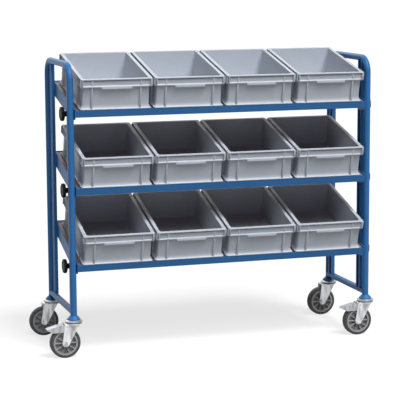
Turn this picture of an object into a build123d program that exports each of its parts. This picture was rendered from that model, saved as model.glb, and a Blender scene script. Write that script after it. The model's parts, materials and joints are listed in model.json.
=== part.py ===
from build123d import *
import os
from math import atan2, ceil, cos, degrees, floor, radians, sin

# Assembly trolley: two bent-tube end frames on swivel casters carry three tilting shelves,
# each with a row of stacking containers. Millimetres, +X right, +Y rear, +Z up, and the
# origin on the floor midway between the four legs.

os.makedirs("parts", exist_ok=True)

# End frames
frame_rise = 210.0
tube_diameter = 27.0
tube_wall = 2.0
bend_radius = 62.0
crossbar_height = 185.0

# Perforated C-rails between the legs, the web on the legs' axis and the mouth towards the shelves
rail_depth = 14.0
rail_wall = 2.0
rail_lip = 8.0
rail_mouth_clearance = 1.15
rail_setback = 52.0
rail_holes_per_shelf = 6
rail_end_margin = 15.0

# Foot flanges under the legs
foot_diameter = 54.0
foot_thickness = 4.0
foot_cone_height = 12.0
foot_cone_diameter = 31.0

# Shelves, each in its own frame: the clamp stud's axis is the origin, Y runs up the slope
lowest_stud_height = 367.0
shelf_spacing = 310.0
lower_tilt = 17.2
middle_tilt = 15.0
upper_tilt = 12.8
tilt_up = 0.8
shelf_front_reach = 66.9
shelf_rear_gap = 24.0
shelf_end_gap = 14.2
board_top = 29.2
board_thickness = 12.0
board_clearance = 0.5
edge_rail_depth = 20.0
edge_rail_height = 25.5
edge_rail_wall = 2.0
edge_lip_height = 2.2
edge_lip_thickness = 2.5
ledge_depth = 15.0
side_plate_thickness = 4.0
side_plate_rise = 7.5
side_plate_skirt = 7.0
side_plate_cut_length = 40.0
side_plate_cut_height = 16.0
side_clearance = 0.3

# Clamp studs, rear guide pins and clamp knobs
stud_diameter = 8.0
rear_pin_diameter = 8.0
rear_pin_drop = 13.0
rear_pin_from_end = 36.3
running_clearance = 0.1
knob_diameter = 58.0
knob_thickness = 14.0
knob_hub_diameter = 22.0
knob_hub_length = 15.0
knob_lobes = 8
knob_lobe_depth = 3.0
knob_rounding = 4.0
stud_cap = 6.0

# Stacking containers
containers_per_shelf = 4
container_length = 400.0
container_width = 300.0
container_height = 130.0
container_gap = 5.0
container_overhang = 2.0
container_wall = 2.5
wall_inset = 14.0
rim_corner = 8.0
rim_thickness = 4.0
band_height = 30.0
band_inset = 4.5
bead_height = 6.0
post_width = 4.0
grip_width = 126.0
grip_drop = 8.0
base_inset = 6.0
base_height = 3.0
flare_height = 18.0
foot_height = 4.0
foot_inset = 17.0
foot_ring_width = 16.0
rib_foot = 18.0
rib_ridge = 6.0
rib_depth = 8.0
end_rib_spread = 200.0
side_rib_spread = 260.0
rim_hole_diameter = 6.0
rim_hole_from_end = 34.0

# Swivel casters
wheel_diameter = 125.0
wheel_width = 32.0
tyre_thickness = 12.0
tyre_rounding = 7.0
tyre_to_fork = 13.5
caster_trail = 38.0
head_diameter = 72.0
head_thickness = 8.0
head_top_diameter = 56.0
head_edge = 4.5
race_diameter = 52.0
race_height = 4.5
cap_diameter = 70.0
swivel_gap = 0.5
kingpin_diameter = 14.0
kingpin_head_diameter = 24.0
kingpin_head_thickness = 5.0
fork_wall = 3.5
fork_top_front = 20.0
fork_top_rear = 42.0
fork_eye_diameter = 29.0
hub_side_gap = 0.5
hub_boss_diameter = 34.0
hub_boss_side = 3.5
hub_rim_inset = 1.0
hub_rim_thickness = 7.0
hub_web_thickness = 4.0
hub_spokes = 10
hub_spoke_width = 3.5
hub_spoke_inset = 1.5
axle_diameter = 10.0
axle_head_across = 17.0
axle_head_thickness = 6.0

# Brake pedals of the two front casters, each a pressed channel over the tyre's top
pedal_reach = 82.0
pedal_fall = 9.0
pedal_step = 1.5
pedal_rise = 7.0
pedal_bend = 40.0
pedal_bend_rise = 3.0
pedal_skirt_drop = 24.0
pedal_skirt_front = 14.0
pedal_skirt_rear = 58.0
pedal_wall = 3.0
pedal_tyre_gap = 0.8
pedal_side_gap = 1.0
pedal_plate_gap = 3.0
pedal_pivot_diameter = 6.0
pedal_boss_diameter = 9.0
pedal_pivot_x = 32.0

# Places worked out from the sizes above, first the shelf in its own frame
container_pitch = container_width + container_gap
containers_width = containers_per_shelf * container_pitch - container_gap
side_plate_inner_x = containers_width / 2 + shelf_end_gap
side_plate_outer_x = side_plate_inner_x + side_plate_thickness
shelf_front = -shelf_front_reach
container_front = shelf_front - container_overhang
shelf_rear = container_front + container_length + shelf_rear_gap
board_bottom = board_top - board_thickness
side_plate_top = board_top + side_plate_rise
side_plate_bottom = -rear_pin_drop - side_plate_skirt
edge_rail_bottom = board_top - edge_rail_height

# The rails are spaced so that the guide pin stays centred in the rear one over the whole tilt
rear_pin_y = shelf_rear - rear_pin_from_end
shelf_tilts = {"lower": lower_tilt, "middle": middle_tilt, "upper": upper_tilt}
steepest = radians(max(shelf_tilts.values()) + tilt_up)
rear_pin_steep_y = rear_pin_y * cos(steepest) + rear_pin_drop * sin(steepest)
rail_span = (rear_pin_y + rear_pin_steep_y) / 2
rail_mouth = rear_pin_diameter + rear_pin_y - rear_pin_steep_y + 2 * rail_mouth_clearance
rail_width = rail_mouth + 2 * rail_lip
rear_pin_length = rail_depth - rail_wall

# Casters from the floor up
wheel_radius = wheel_diameter / 2
hub_radius = wheel_radius - tyre_thickness
hub_half_width = wheel_width / 2 + hub_boss_side
hub_rim_width = wheel_width - 2 * hub_rim_inset
cheek_inner_y = hub_half_width + hub_side_gap
cheek_outer_y = cheek_inner_y + fork_wall
fork_plate_bottom = wheel_diameter + tyre_to_fork
fork_plate_top = fork_plate_bottom + fork_wall
fork_top_z = fork_plate_top + race_height
caster_height = fork_top_z + swivel_gap + head_thickness

# End frames round the shelves
stud_heights = [lowest_stud_height + n * shelf_spacing for n in range(len(shelf_tilts))]
rail_hole_pitch = shelf_spacing / rail_holes_per_shelf
rail_inner_x = side_plate_outer_x + side_clearance
web_outer_x = rail_inner_x + rail_depth
leg_x = web_outer_x
leg_y = rail_setback + rail_span / 2
leg_spacing_y = 2 * leg_y
stud_y = -leg_y + rail_setback
rear_rail_y = leg_y - rail_setback
tube_radius = tube_diameter / 2
leg_foot_z = caster_height + foot_thickness
top_axis_z = stud_heights[-1] + frame_rise - tube_radius
leg_points = {
    "left_front": (-leg_x, -leg_y),
    "left_rear": (-leg_x, leg_y),
    "right_front": (leg_x, -leg_y),
    "right_rear": (leg_x, leg_y),
}
sides = {"left": -1, "right": 1}

knob_inner_x = web_outer_x + side_clearance
knob_outer_x = knob_inner_x + knob_hub_length + knob_thickness


def save(shape, name):
    """Label one finished piece and write it to its own file."""
    shape.label = name
    export_step(shape, f"parts/{name}.step")


# End frames: the bent tube, its crossbar and the two rails on each side
for side_name, side in sides.items():
    frame_plane = Plane(origin=(side * leg_x, 0, 0), x_dir=(0, 1, 0), z_dir=(1, 0, 0))
    frame_corners = [
        (-leg_y, leg_foot_z),
        (-leg_y, top_axis_z),
        (leg_y, top_axis_z),
        (leg_y, leg_foot_z),
    ]
    foot_plane = Plane(origin=(side * leg_x, -leg_y, leg_foot_z))
    bar_plane = Plane(origin=(side * leg_x, -leg_y, crossbar_height), z_dir=(0, 1, 0))

    with BuildPart() as end_tube:
        with BuildLine(frame_plane) as frame_path:
            FilletPolyline(*frame_corners, radius=bend_radius)
        with BuildSketch(foot_plane):
            Circle(tube_radius)
            Circle(tube_radius - tube_wall, mode=Mode.SUBTRACT)
        sweep(path=frame_path.line)

    with BuildPart() as crossbar:
        with BuildSketch(bar_plane):
            Circle(tube_radius)
            Circle(tube_radius - tube_wall, mode=Mode.SUBTRACT)
        extrude(amount=leg_spacing_y)
        with BuildSketch(Plane.XY.offset(crossbar_height - tube_diameter)):
            with Locations((side * leg_x, -leg_y), (side * leg_x, leg_y)):
                Circle(tube_radius)
        extrude(amount=2 * tube_diameter, mode=Mode.SUBTRACT)

    # The outside of the tube and the crossbar, which the rails are notched to meet
    with BuildPart() as frame_outside:
        with BuildLine(frame_plane) as outside_path:
            FilletPolyline(*frame_corners, radius=bend_radius)
        with BuildSketch(foot_plane):
            Circle(tube_radius)
        sweep(path=outside_path.line)
        with BuildSketch(bar_plane):
            Circle(tube_radius)
        extrude(amount=leg_spacing_y)

    save(end_tube.part, f"{side_name}_end_tube")
    save(crossbar.part, f"{side_name}_crossbar")

    for row_name, rail_y in (("front", stud_y), ("rear", rear_rail_y)):
        rail_bottom = crossbar_height + tube_radius / 2
        rail_top = top_axis_z - tube_radius / 2
        channel_x = side * (leg_x - rail_depth / 2)
        mouth_x = channel_x - side * rail_wall
        first_hole = ceil((rail_bottom + rail_end_margin - lowest_stud_height) / rail_hole_pitch)
        last_hole = floor((rail_top - rail_end_margin - lowest_stud_height) / rail_hole_pitch)
        hole_heights = [
            lowest_stud_height + n * rail_hole_pitch for n in range(first_hole, last_hole + 1)
        ]
        with BuildPart() as channel_rail:
            with BuildSketch(Plane.XY.offset(rail_bottom)):
                with Locations((channel_x, rail_y)):
                    Rectangle(rail_depth, rail_width)
                    Rectangle(
                        rail_depth - 2 * rail_wall, rail_width - 2 * rail_wall, mode=Mode.SUBTRACT
                    )
                with Locations((mouth_x, rail_y)):
                    Rectangle(rail_depth, rail_mouth, mode=Mode.SUBTRACT)
            extrude(amount=rail_top - rail_bottom)
            with BuildSketch(Plane.YZ.offset(side * leg_x)):
                with Locations(*[(rail_y, height) for height in hole_heights]):
                    Circle(stud_diameter / 2 + running_clearance)
            extrude(amount=rail_depth / 2, both=True, mode=Mode.SUBTRACT)
            add(frame_outside.part, mode=Mode.SUBTRACT)
        save(channel_rail.part, f"{side_name}_{row_name}_rail")

# Foot flanges welded under the legs, one under each
with BuildPart() as foot_flange:
    with BuildSketch(Plane.XZ):
        with BuildLine():
            Polyline(
                (0, caster_height),
                (foot_diameter / 2, caster_height),
                (foot_diameter / 2, leg_foot_z),
                (foot_cone_diameter / 2, leg_foot_z + foot_cone_height),
                (tube_radius, leg_foot_z + foot_cone_height),
                (tube_radius, leg_foot_z),
                (0, leg_foot_z),
                close=True,
            )
        make_face()
    revolve(axis=Axis.Z)

with BuildPart() as foot_flanges:
    with Locations(*leg_points.values()):
        add(foot_flange.part)
save(foot_flanges.part, "foot_flanges")

# Shelf: front and rear edge rails, hollow, with a low lip and a ledge under the board
with BuildPart() as edge_rails:
    for face, inward in ((shelf_front, 1), (shelf_rear, -1)):
        with BuildSketch(Plane.YZ.offset(-side_plate_inner_x)):
            with BuildLine():
                Polyline(
                    (face, edge_rail_bottom),
                    (face + inward * edge_rail_depth, edge_rail_bottom),
                    (face + inward * edge_rail_depth, board_bottom - edge_rail_wall),
                    (face + inward * (edge_rail_depth + ledge_depth), board_bottom - edge_rail_wall),
                    (face + inward * (edge_rail_depth + ledge_depth), board_bottom),
                    (face + inward * edge_rail_depth, board_bottom),
                    (face + inward * edge_rail_depth, board_top),
                    (face + inward * edge_lip_thickness, board_top),
                    (face + inward * edge_lip_thickness, board_top + edge_lip_height),
                    (face, board_top + edge_lip_height),
                    close=True,
                )
            make_face()
            with Locations((face + inward * edge_rail_depth / 2, board_top - edge_rail_height / 2)):
                Rectangle(
                    edge_rail_depth - 2 * edge_rail_wall,
                    edge_rail_height - 2 * edge_rail_wall,
                    mode=Mode.SUBTRACT,
                )
        extrude(amount=2 * side_plate_inner_x)

# Shelf: side plates with the lower front corner cut off
with BuildPart() as side_plates:
    for side in sides.values():
        with BuildSketch(Plane.YZ.offset(side * side_plate_inner_x)):
            with BuildLine():
                Polyline(
                    (shelf_front + side_plate_cut_length, side_plate_bottom),
                    (shelf_rear, side_plate_bottom),
                    (shelf_rear, side_plate_top),
                    (shelf_front, side_plate_top),
                    (shelf_front, side_plate_bottom + side_plate_cut_height),
                    close=True,
                )
            make_face()
        extrude(amount=side * side_plate_thickness)

# Shelf: the wooden board between the rails
board_front = shelf_front + edge_rail_depth + board_clearance
board_rear = shelf_rear - edge_rail_depth - board_clearance
with BuildPart() as board:
    with BuildSketch(Plane.XY.offset(board_bottom)):
        with Locations((0, (board_front + board_rear) / 2)):
            Rectangle(2 * (side_plate_inner_x - board_clearance), board_rear - board_front)
    extrude(amount=board_thickness)

# Shelf: clamp studs at the front and guide pins at the rear, on both side plates
stud_length = knob_outer_x - stud_cap - side_plate_outer_x
with BuildPart() as shelf_pins:
    for side in sides.values():
        with BuildSketch(Plane.YZ.offset(side * side_plate_outer_x)):
            Circle(stud_diameter / 2)
        extrude(amount=side * stud_length)
        with BuildSketch(Plane.YZ.offset(side * side_plate_outer_x)):
            with Locations((rear_pin_y, -rear_pin_drop)):
                Circle(rear_pin_diameter / 2)
        extrude(amount=side * rear_pin_length)

# Clamp knob on the right-hand stud: hub, lobed disc and threaded bore
knob_disc_x = knob_inner_x + knob_hub_length
with BuildPart() as clamp_knob:
    with BuildSketch(Plane.YZ.offset(knob_inner_x)):
        Circle(knob_hub_diameter / 2)
    extrude(amount=knob_hub_length)
    with BuildSketch(Plane.YZ.offset(knob_disc_x)):
        Circle(knob_diameter / 2)
        with PolarLocations(knob_diameter / 2 + knob_lobe_depth, knob_lobes):
            Circle(2 * knob_lobe_depth, mode=Mode.SUBTRACT)
    extrude(amount=knob_thickness)
    fillet(clamp_knob.faces().sort_by(Axis.X)[-1].edges(), knob_rounding)
    with BuildSketch(Plane.YZ.offset(knob_inner_x)):
        Circle(stud_diameter / 2 + running_clearance)
    extrude(amount=knob_hub_length + knob_thickness - stud_cap + running_clearance, mode=Mode.SUBTRACT)

# Stacking container, its foot on the board at Z = 0 and its middle at the origin
wall_length = container_length - 2 * wall_inset
wall_width = container_width - 2 * wall_inset
wall_corner = rim_corner
band_bottom = container_height - rim_thickness - band_height
band_depth = band_inset + container_wall
post_inset = 2 * rim_corner + post_width
base_length = container_length - 2 * base_inset
base_width = container_width - 2 * base_inset
floor_top = foot_height + container_wall
rib_flank = degrees(atan2(rib_depth, (rib_foot - rib_ridge) / 2))
with BuildPart() as container:
    # Walls and floor
    with BuildSketch(Plane.XY.offset(foot_height)):
        RectangleRounded(wall_width, wall_length, wall_corner)
    extrude(amount=container_height - foot_height)
    # Top rim
    with BuildSketch(Plane.XY.offset(container_height - rim_thickness)):
        RectangleRounded(container_width, container_length, rim_corner)
    extrude(amount=rim_thickness)
    # Band that hangs from the rim, a bead along its lower edge and a post at each corner's ends
    with BuildSketch(Plane.XY.offset(band_bottom)):
        RectangleRounded(
            container_width - 2 * band_inset,
            container_length - 2 * band_inset,
            rim_corner - band_inset,
        )
        Rectangle(
            container_width - 2 * band_depth,
            container_length - 2 * band_depth,
            mode=Mode.SUBTRACT,
        )
        with GridLocations(container_width - post_inset, container_length - band_depth, 2, 2):
            Rectangle(post_width, band_depth)
        with GridLocations(container_width - band_depth, container_length - post_inset, 2, 2):
            Rectangle(band_depth, post_width)
    extrude(amount=band_height)
    with BuildSketch(Plane.XY.offset(band_bottom)):
        RectangleRounded(container_width, container_length, rim_corner)
        Rectangle(
            container_width - 2 * band_depth,
            container_length - 2 * band_depth,
            mode=Mode.SUBTRACT,
        )
    extrude(amount=bead_height)
    # Hand grips on both ends, which hang below the bead
    with BuildSketch(Plane.XY.offset(band_bottom - grip_drop)):
        with GridLocations(0, container_length - band_depth, 1, 2):
            Rectangle(grip_width, band_depth)
    extrude(amount=grip_drop)
    # Flared base and the foot ring below it
    with BuildSketch(Plane.XY.offset(foot_height)):
        RectangleRounded(base_width, base_length, rim_corner)
    extrude(amount=base_height)
    with BuildSketch(Plane.XY.offset(foot_height + base_height)):
        RectangleRounded(base_width, base_length, rim_corner)
    with BuildSketch(Plane.XY.offset(foot_height + base_height + flare_height)):
        RectangleRounded(wall_width, wall_length, wall_corner)
    loft()
    with BuildSketch():
        RectangleRounded(
            container_width - 2 * foot_inset, container_length - 2 * foot_inset, rim_corner
        )
        RectangleRounded(
            container_width - 2 * (foot_inset + foot_ring_width),
            container_length - 2 * (foot_inset + foot_ring_width),
            rim_corner,
            mode=Mode.SUBTRACT,
        )
    extrude(amount=foot_height)
    # Upright ribs with sloping flanks, two on the outside of each wall
    for turn, wall_distance, rib_spread in (
        (0, wall_length / 2, end_rib_spread),
        (90, wall_width / 2, side_rib_spread),
        (180, wall_length / 2, end_rib_spread),
        (270, wall_width / 2, side_rib_spread),
    ):
        with BuildSketch(Plane.XY.offset(foot_height).rotated((0, 0, turn))):
            with Locations((-rib_spread / 2, wall_distance), (rib_spread / 2, wall_distance)):
                Trapezoid(rib_foot, rib_depth, rib_flank, align=(Align.CENTER, Align.MIN))
        extrude(amount=container_height - rim_thickness - foot_height)
    # Inside space
    with BuildSketch(Plane.XY.offset(floor_top)):
        RectangleRounded(
            wall_width - 2 * container_wall,
            wall_length - 2 * container_wall,
            wall_corner - container_wall,
        )
    extrude(amount=container_height, mode=Mode.SUBTRACT)
    # Small holes through the rim near the corners of the long sides
    with BuildSketch(Plane.XY.offset(container_height)):
        with GridLocations(
            container_width - wall_inset - band_depth,
            container_length - 2 * rim_hole_from_end,
            2,
            2,
        ):
            Circle(rim_hole_diameter / 2)
    extrude(amount=-2 * rim_thickness, mode=Mode.SUBTRACT)

# Each shelf with its knobs and containers is set at its height and tilted
container_y = container_front + container_length / 2
for (shelf_name, shelf_tilt), stud_height in zip(shelf_tilts.items(), stud_heights):
    shelf_place = Location((0, stud_y, stud_height), (shelf_tilt, 0, 0))
    save(edge_rails.part.moved(shelf_place), f"{shelf_name}_shelf_edge_rails")
    save(side_plates.part.moved(shelf_place), f"{shelf_name}_shelf_side_plates")
    save(board.part.moved(shelf_place), f"{shelf_name}_shelf_board")
    save(shelf_pins.part.moved(shelf_place), f"{shelf_name}_shelf_pins")
    save(clamp_knob.part.moved(shelf_place), f"{shelf_name}_right_knob")
    save(mirror(clamp_knob.part, about=Plane.YZ).moved(shelf_place), f"{shelf_name}_left_knob")
    for number in range(containers_per_shelf):
        container_x = (number - (containers_per_shelf - 1) / 2) * container_pitch
        container_place = shelf_place * Location((container_x, container_y, board_top))
        save(container.part.moved(container_place), f"{shelf_name}_container_{number + 1}")

# Caster head: a fixed domed plate with the kingpin that the fork turns on
head_bottom = caster_height - head_thickness
kingpin_head_top = fork_plate_bottom - swivel_gap
with BuildPart() as caster_head:
    with BuildSketch(Plane.XZ):
        with BuildLine():
            Polyline(
                (0, caster_height),
                (head_top_diameter / 2, caster_height),
                (head_diameter / 2, head_bottom + head_edge),
                (head_diameter / 2, head_bottom),
                (kingpin_diameter / 2, head_bottom),
                (kingpin_diameter / 2, kingpin_head_top),
                (kingpin_head_diameter / 2, kingpin_head_top),
                (kingpin_head_diameter / 2, kingpin_head_top - kingpin_head_thickness),
                (0, kingpin_head_top - kingpin_head_thickness),
                close=True,
            )
        make_face()
    revolve(axis=Axis.Z)

with BuildPart() as caster_heads:
    with Locations(*leg_points.values()):
        add(caster_head.part)
save(caster_heads.part, "caster_heads")

# Caster fork: ball race, top plate with a round cap, and two tapered cheeks down to the axle
fork_plate_length = fork_top_front + fork_top_rear
fork_plate_x = (fork_top_front - fork_top_rear) / 2
with BuildPart() as fork:
    with BuildSketch(Plane.XY.offset(fork_plate_top)):
        Circle(race_diameter / 2)
    extrude(amount=race_height)
    with BuildSketch(Plane.XY.offset(fork_plate_bottom)):
        Circle(cap_diameter / 2)
        with Locations((fork_plate_x, 0)):
            Rectangle(fork_plate_length, 2 * cheek_outer_y)
    extrude(amount=fork_wall)
    for cheek in (-1, 1):
        with BuildSketch(Plane.XZ.offset(-cheek * cheek_inner_y)):
            with Locations((-caster_trail, wheel_radius)):
                Circle(fork_eye_diameter / 2)
            with Locations((fork_plate_x, fork_plate_bottom - fork_wall / 2)):
                Rectangle(fork_plate_length, fork_wall)
            make_hull()
        extrude(amount=-cheek * fork_wall)
    with BuildSketch(Plane.XY.offset(fork_plate_bottom)):
        Circle(kingpin_diameter / 2 + running_clearance)
    extrude(amount=race_height + fork_wall, mode=Mode.SUBTRACT)
    with BuildSketch(Plane.XZ):
        with Locations((-caster_trail, wheel_radius)):
            Circle(axle_diameter / 2)
    extrude(amount=2 * cheek_outer_y, both=True, mode=Mode.SUBTRACT)

# Braked fork: the same with a bore for the pedal's pivot
pedal_boss_radius = pedal_boss_diameter / 2
pedal_pivot_z = fork_plate_bottom - pedal_plate_gap - pedal_boss_radius
with BuildPart() as braked_fork:
    add(fork.part)
    with BuildSketch(Plane.XZ):
        with Locations((-pedal_pivot_x, pedal_pivot_z)):
            Circle(pedal_pivot_diameter / 2 + running_clearance)
    extrude(amount=2 * cheek_outer_y, both=True, mode=Mode.SUBTRACT)

# Wheel hub: boss, web, rim and spokes on both faces
rim_inner_radius = hub_radius - hub_rim_thickness
with BuildPart() as wheel_hub:
    with BuildSketch():
        Rectangle(hub_boss_diameter / 2, 2 * hub_half_width, align=(Align.MIN, Align.CENTER))
        Rectangle(hub_radius, hub_web_thickness, align=(Align.MIN, Align.CENTER))
        with Locations((rim_inner_radius, 0)):
            Rectangle(hub_rim_thickness, hub_rim_width, align=(Align.MIN, Align.CENTER))
    revolve(axis=Axis.Y)
    with BuildSketch(Plane.XZ):
        with PolarLocations((hub_boss_diameter / 2 + rim_inner_radius) / 2, hub_spokes):
            Rectangle(rim_inner_radius - hub_boss_diameter / 2 + hub_spoke_width, hub_spoke_width)
    extrude(amount=hub_half_width - hub_spoke_inset - hub_boss_side, both=True)
    with BuildSketch(Plane.XZ):
        Circle(axle_diameter / 2 + running_clearance)
    extrude(amount=2 * hub_half_width, both=True, mode=Mode.SUBTRACT)

# Tyre on the hub's rim
with BuildPart() as tyre:
    with BuildSketch():
        with Locations((hub_radius + tyre_thickness / 2, 0)):
            Rectangle(tyre_thickness, wheel_width)
        fillet(vertices().group_by(Axis.X)[-1], tyre_rounding)
    revolve(axis=Axis.Y)

# Axle bolt with a hexagon at each end
with BuildPart() as axle:
    with BuildSketch(Plane.XZ):
        Circle(axle_diameter / 2)
    extrude(amount=cheek_outer_y, both=True)
    for end in (-1, 1):
        with BuildSketch(Plane.XZ.offset(end * cheek_outer_y)):
            RegularPolygon(axle_head_across / 2, 6, major_radius=False)
        extrude(amount=end * axle_head_thickness)

# Brake pedal, its pivot at the origin: a top plate with a skirt on both sides of the tyre
pedal_half_width = cheek_inner_y - pedal_side_gap
pocket_half_width = wheel_width / 2 + pedal_tyre_gap
pedal_neck = fork_top_rear - pedal_pivot_x + pedal_side_gap
pedal_top = [
    (-pedal_neck, pedal_boss_radius),
    (-pedal_neck - pedal_step, pedal_rise),
    (-pedal_bend, pedal_bend_rise),
    (-pedal_reach, -pedal_fall),
]
pocket_top = [(max(x - pedal_step, -pedal_reach), z - pedal_wall) for x, z in pedal_top]
pocket_bottom = -pedal_skirt_drop - pedal_wall
with BuildPart() as brake_pedal:
    with BuildSketch(Plane.XZ.offset(-pedal_half_width)):
        Circle(pedal_boss_radius)
        with BuildLine():
            Polyline(
                (0, pedal_boss_radius),
                *pedal_top,
                (-pedal_reach, -pedal_fall - pedal_wall),
                (-pedal_skirt_rear, -pedal_skirt_drop),
                (-pedal_skirt_front, -pedal_skirt_drop),
                (0, -pedal_boss_radius),
                close=True,
            )
        make_face()
    extrude(amount=2 * pedal_half_width)
    with BuildSketch(Plane.XZ.offset(-pocket_half_width)):
        with BuildLine():
            Polyline(
                (pedal_boss_diameter, pocket_top[0][1]),
                *pocket_top,
                (-pedal_reach, pocket_bottom),
                (pedal_boss_diameter, pocket_bottom),
                close=True,
            )
        make_face()
    extrude(amount=2 * pocket_half_width, mode=Mode.SUBTRACT)
    with BuildSketch(Plane.XZ):
        Circle(pedal_pivot_diameter / 2)
    extrude(amount=cheek_outer_y, both=True)

# Casters are set under the legs, and the front ones get the pedals
for caster_name, (caster_x, caster_y) in leg_points.items():
    braked = caster_name.endswith("front")
    caster_place = Location((caster_x, caster_y, 0))
    wheel_place = Location((caster_x - caster_trail, caster_y, wheel_radius))
    caster_fork = braked_fork if braked else fork
    save(caster_fork.part.moved(caster_place), f"{caster_name}_caster_fork")
    save(wheel_hub.part.moved(wheel_place), f"{caster_name}_wheel_hub")
    save(tyre.part.moved(wheel_place), f"{caster_name}_tyre")
    save(axle.part.moved(wheel_place), f"{caster_name}_axle")
    if braked:
        pedal_place = Location((caster_x - pedal_pivot_x, caster_y, pedal_pivot_z))
        save(brake_pedal.part.moved(pedal_place), f"{caster_name}_brake_pedal")
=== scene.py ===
import json
from math import acos, atan2, cos, pi, radians, sin, tau

import bpy
from mathutils import Matrix, Vector


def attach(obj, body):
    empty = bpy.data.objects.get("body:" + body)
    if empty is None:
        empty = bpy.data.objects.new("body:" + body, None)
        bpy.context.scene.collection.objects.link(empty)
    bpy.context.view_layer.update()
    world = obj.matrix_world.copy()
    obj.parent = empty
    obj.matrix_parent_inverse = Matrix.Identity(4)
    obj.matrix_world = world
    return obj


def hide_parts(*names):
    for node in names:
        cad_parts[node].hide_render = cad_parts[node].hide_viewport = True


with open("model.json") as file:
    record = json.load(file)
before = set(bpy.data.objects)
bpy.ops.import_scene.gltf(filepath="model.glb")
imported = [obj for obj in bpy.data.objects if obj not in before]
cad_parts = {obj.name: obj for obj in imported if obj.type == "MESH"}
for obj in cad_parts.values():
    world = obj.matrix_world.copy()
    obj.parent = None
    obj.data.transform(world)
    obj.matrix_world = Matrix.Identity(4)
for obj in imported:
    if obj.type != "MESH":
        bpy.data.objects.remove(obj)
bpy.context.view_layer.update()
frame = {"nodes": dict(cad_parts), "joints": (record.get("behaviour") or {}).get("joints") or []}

bl_info = {
    "name": "Assembly trolley",
    "version": (1, 0, 0),
    "blender": (4, 5, 0),
    "location": "3D View > Sidebar > Trolley",
    "description": "Dresses an assembly trolley's frame with its tubes, containers and casters",
    "category": "Object",
}

MM = 0.001
SHELVES = ("lower", "middle", "upper")
SIDES = {"left": -1, "right": 1}
LEGS = ("left_front", "left_rear", "right_front", "right_rear")
CONTAINERS = (1, 2, 3, 4)
KNOB_LOBES = 8
JOINTS = {joint["name"]: joint for joint in frame["joints"]}

# How finely round shapes are drawn
TUBE_SIDES = 40
HOLE_SIDES = 20
BORE_SIDES = 24
BEND_STEPS = 14
CORNER_STEPS = 6
FLARE_STEPS = 5
BEVEL_STEPS = 2
WHEEL_STEPS = 72
KNOB_STEPS = 96
ROUND_STEPS = 5
EYE_STEPS = 16

# Edges that turn by more than this are sharp, on most pieces and on the knobs and tyres
SHARP_TURN = radians(40)
ROUND_SHARP_TURN = radians(30)

# Points closer than the seam are one point, details are sunk into their wall by the overlap,
# the fork's cap stands one step above its plate, and a drill is longer than any hole
SEAM = 0.01 * MM
OVERLAP = 1 * MM
CAP_STEP = 0.5 * MM
DRILL_LENGTH = 200 * MM

# How much darker and lighter a finish gets in its pattern
COAT_TONES = (0.93, 1.07)
PLASTIC_TONES = (0.95, 1.05)
PLATING_TONES = (0.6, 1.12)
RUBBER_TONES = (0.85, 1.15)

# Lamps and surround: together they light a white floor to a little above 1.
# A tip above 0 is light from the front, and a side above 0 is light from the right
KEY_LIGHT = 2.9
KEY_SIZE = radians(18)
KEY_TIP = radians(27)
KEY_SIDE = radians(12)
FILL_LIGHT = 1.1
FILL_SIZE = radians(24)
FILL_TIP = radians(45)
FILL_SIDE = radians(-4)
BACK_LIGHT = 0.8
BACK_SIZE = radians(40)
BACK_TIP = radians(-50)
BACK_SIDE = radians(-10)
AMBIENT = 0.03

# Floor: its size in metres, and the share of it that is seen as plain white
FLOOR_SIZE = 400
FLOOR_WHITE = 0.72

# Camera: its place and the end of its view in metres, the sensor and lens in millimetres
CAMERA_PLACE = (-2.022, -6.338, 1.579)
CAMERA_PAN = radians(-17.4)
CAMERA_DIP = radians(8.51)
CAMERA_ROLL = radians(-0.3)
SENSOR_WIDTH = 36
LENS = 142.1
VIEW_END = 1000


def shelf_place(shelf):
    """The shelf's own frame: its clamp stud is the origin, and Y runs up the slope."""
    hinge = JOINTS[f"{shelf}_shelf_tilt"]
    tilt = radians(-hinge["range_deg"][0])
    return Matrix.Translation(hinge["pos_m"]) @ Matrix.Rotation(tilt, 4, "X")


def measure(node, place=Matrix()):
    """Lowest and highest corner of a CAD node, seen from a frame that may be turned."""
    back = place.inverted()
    points = [back @ vertex.co for vertex in frame["nodes"][node].data.vertices]
    low = Vector([min(point[axis] for point in points) for axis in range(3)])
    high = Vector([max(point[axis] for point in points) for axis in range(3)])
    return low, high


def linear(hex_colour):
    """Turn an sRGB hex value into the linear colour that Blender's sockets hold."""
    rgb = []
    for start in (1, 3, 5):
        value = int(hex_colour[start:start + 2], 16) / 255
        rgb.append(value / 12.92 if value <= 0.04045 else ((value + 0.055) / 1.055) ** 2.4)
    return rgb


def length(name, description, default):
    """A size that the user can change, in metres."""
    return bpy.props.FloatProperty(
        name=name, description=description, default=default, unit="LENGTH", precision=4
    )


def colour(name, description, default):
    """A colour that the user can change, written as sRGB hex."""
    return bpy.props.FloatVectorProperty(
        name=name, description=description, default=linear(default), subtype="COLOR", min=0, max=1
    )


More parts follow.
